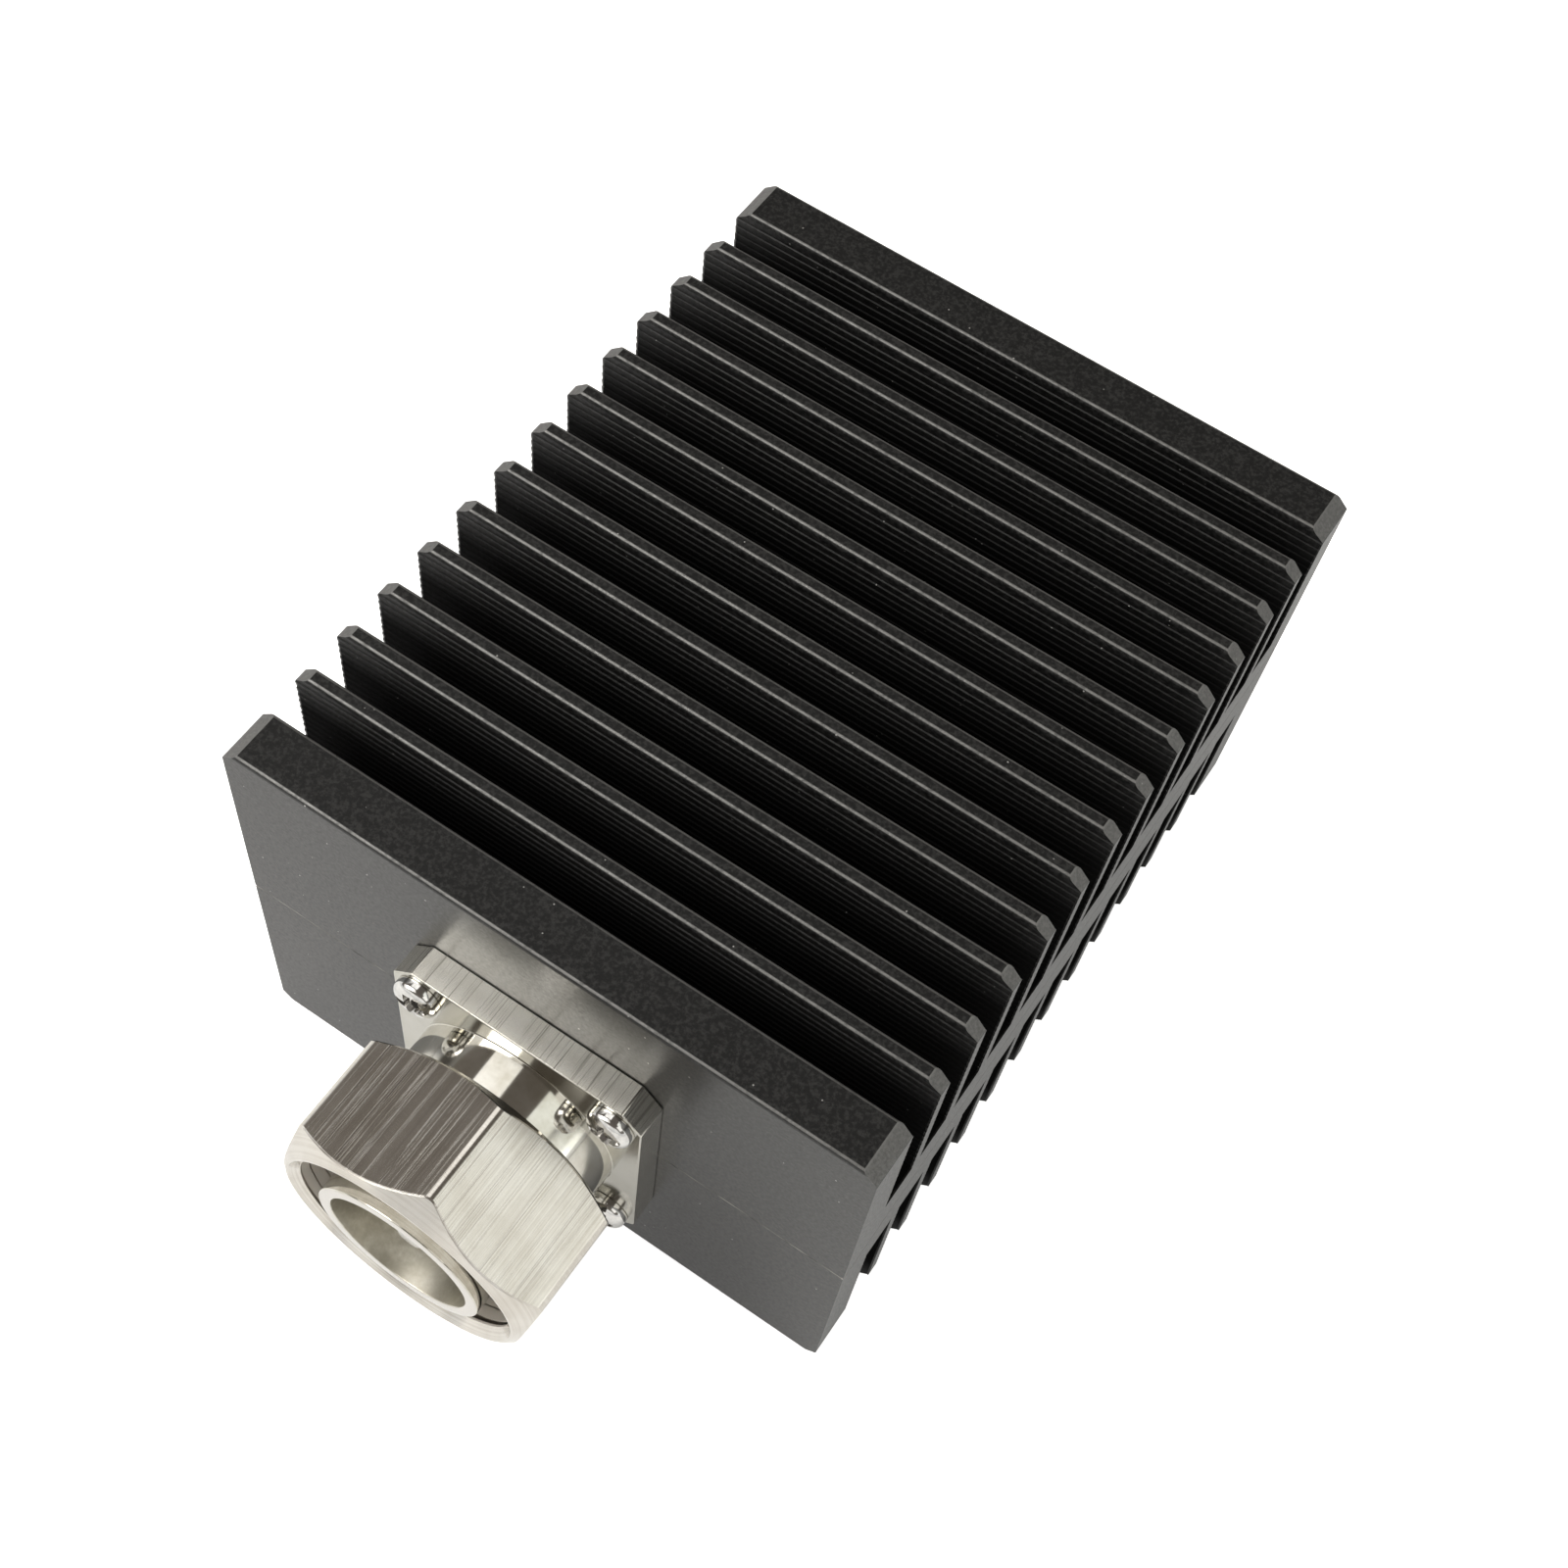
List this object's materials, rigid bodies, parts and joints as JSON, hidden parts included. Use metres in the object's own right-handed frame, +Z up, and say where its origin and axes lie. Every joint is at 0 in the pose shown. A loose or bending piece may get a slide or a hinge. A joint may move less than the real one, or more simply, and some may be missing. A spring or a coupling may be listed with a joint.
{
  "type": "rf dummy load",
  "caption": "Coaxial dummy load: a finned black aluminium block in two halves with a flange-mounted plug and a free-turning hexagonal coupling nut.",
  "frame": {"origin": "middle of the whole part's box, on the plane of the lower fin tips it rests on", "axes": "+Z up across the seam, -Y out of the connector, +X to the right seen from the connector's side"},
  "size_m": [0.08, 0.1254, 0.0594],
  "materials": {
    "anodised_block": "bead-blasted, black anodised",
    "black_screw": "black oxide",
    "white_bronze": "white bronze plated, polished neck",
    "steel_screw": "bright nickel plated steel",
    "nut_plating": "white bronze plated, brushed flats",
    "spring_bronze": "plain phosphor bronze",
    "silicone": "matte",
    "ptfe": "satin",
    "silver": "silver plated",
    "foil": "soft foil",
    "plated_copper": "nickel plated copper",
    "chip_ceramic": "matte",
    "resistor_ink": "matte",
    "lid_ceramic": "matte"
  },
  "bodies": {
    "block": {"upper_heatsink": "anodised_block", "lower_heatsink": "anodised_block", "clamp_screws": "black_screw", "connector_body": "white_bronze", "flange_screws": "steel_screw", "nut_retaining_ring": "spring_bronze", "face_gasket": "silicone", "insulator_bead": "ptfe", "rear_bush": "white_bronze", "centre_pin": "silver", "rear_contact": "silver", "thermal_film": "foil", "resistor_flange": "plated_copper", "resistor_substrate": "chip_ceramic", "resistive_film": "resistor_ink", "resistor_lead": "silver", "resistor_cover": "lid_ceramic", "resistor_washers": "steel_screw", "resistor_screws": "steel_screw"},
    "nut": {"coupling_nut": "nut_plating"}
  },
  "joints": [
    {"name": "nut_spin", "type": "hinge", "parent": "block", "child": "nut", "pos_m": [0, -0.04924, 0.0297], "axis": [0, -1, 0], "continuous": true}
  ]
}
